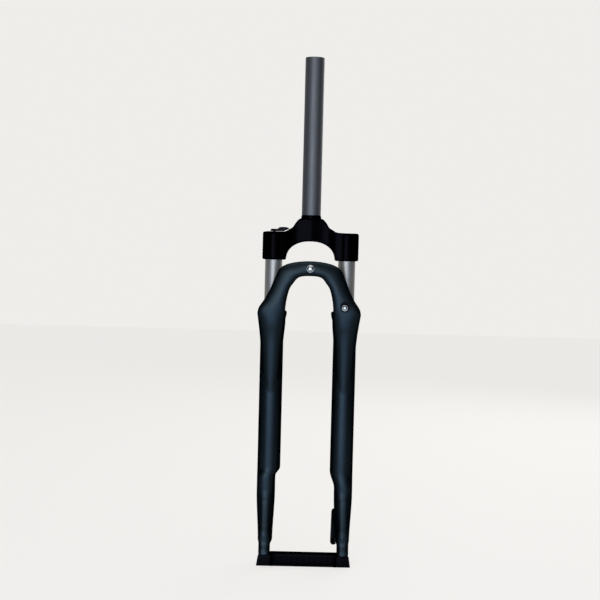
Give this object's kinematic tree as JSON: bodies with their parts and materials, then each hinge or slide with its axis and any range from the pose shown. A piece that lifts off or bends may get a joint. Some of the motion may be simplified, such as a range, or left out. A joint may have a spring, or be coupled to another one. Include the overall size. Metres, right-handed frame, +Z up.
{
  "type": "bicycle fork",
  "caption": "Telescopic suspension fork for a bicycle, with chrome stanchions, black lowers with a front arch, a disc brake tab, a lockout lever and a transport spacer in the dropouts.",
  "frame": {"origin": "centre of the crown race seat, on the steering axis", "axes": "+Z up the steerer, -Y forwards, +X towards the rider's left"},
  "size_m": [0.152, 0.0997, 0.755],
  "materials": {
    "steerer": "satin grey steel",
    "crown": "gloss black paint",
    "stanchion": "polished chrome plate",
    "cap_plastic": "satin black plastic",
    "acetal": "white acetal",
    "spring_steel": "oiled spring steel",
    "elastomer": "yellow elastomer",
    "bright_steel": "ground steel",
    "zinc_screw": "bright zinc plate",
    "brass": "turned brass",
    "alloy_tube": "drawn aluminium tube",
    "seal_plastic": "black plastic with a rubber lip",
    "casting": "satin black paint on cast magnesium",
    "seal_rubber": "black rubber",
    "bushing": "glide bushing",
    "spacer_plastic": "black moulded plastic"
  },
  "bodies": {
    "crown_unit": {"steerer_tube": "steerer", "crown": "crown", "stanchion_left": "stanchion", "stanchion_right": "stanchion", "spring_top_cap": "cap_plastic", "rod_guide": "acetal", "top_out_spring": "spring_steel", "main_spring": "spring_steel", "damper_top_cap": "cap_plastic", "compression_valve": "brass", "damper_cartridge": "alloy_tube", "damper_seal_head": "seal_plastic"},
    "lower_unit": {"lowers": "casting", "dust_seal_left": "seal_rubber", "dust_seal_right": "seal_rubber", "upper_bushing_left": "bushing", "upper_bushing_right": "bushing", "lower_bushing_left": "bushing", "lower_bushing_right": "bushing", "foot_bolts": "zinc_screw", "foot_washers": "zinc_screw", "spring_rod": "bright_steel", "spring_seat": "acetal", "bump_stop": "elastomer", "damper_rod": "bright_steel", "damper_piston": "brass", "arch_screw": "zinc_screw", "hose_guide": "cap_plastic", "hose_guide_screw": "zinc_screw", "dropout_spacer": "spacer_plastic"},
    "lockout_unit": {"lockout_lever": "cap_plastic", "lockout_lever_screw": "zinc_screw", "lockout_spindle": "bright_steel"},
    "preload_unit": {"preload_dial": "cap_plastic"},
    "preload_slider": {"preload_nut": "acetal"}
  },
  "joints": [
    {"name": "suspension_travel", "type": "slide", "parent": "crown_unit", "child": "lower_unit", "axis": [0, 0, 1], "range_m": [0, 0.063], "stiffness_N_per_m": 7000, "springref_m": -0.008, "deforming": ["main_spring"]},
    {"name": "lockout_turn", "type": "hinge", "parent": "crown_unit", "child": "lockout_unit", "pos_m": [-0.0545, -0.014, -0.02], "axis": [0, 0, 1], "range_deg": [0, 90]},
    {"name": "preload_turn", "type": "hinge", "parent": "crown_unit", "child": "preload_unit", "pos_m": [0.0545, -0.014, -0.022], "axis": [0, 0, 1], "range_deg": [0, 1440]},
    {"name": "preload_slide", "type": "slide", "parent": "crown_unit", "child": "preload_slider", "axis": [0, 0, -1], "range_m": [0, 0.0071], "deforming": ["main_spring"]}
  ],
  "couplings": [
    {"joint": "preload_slide", "follows": "preload_turn", "m_per_rad": 0.0002785}
  ]
}
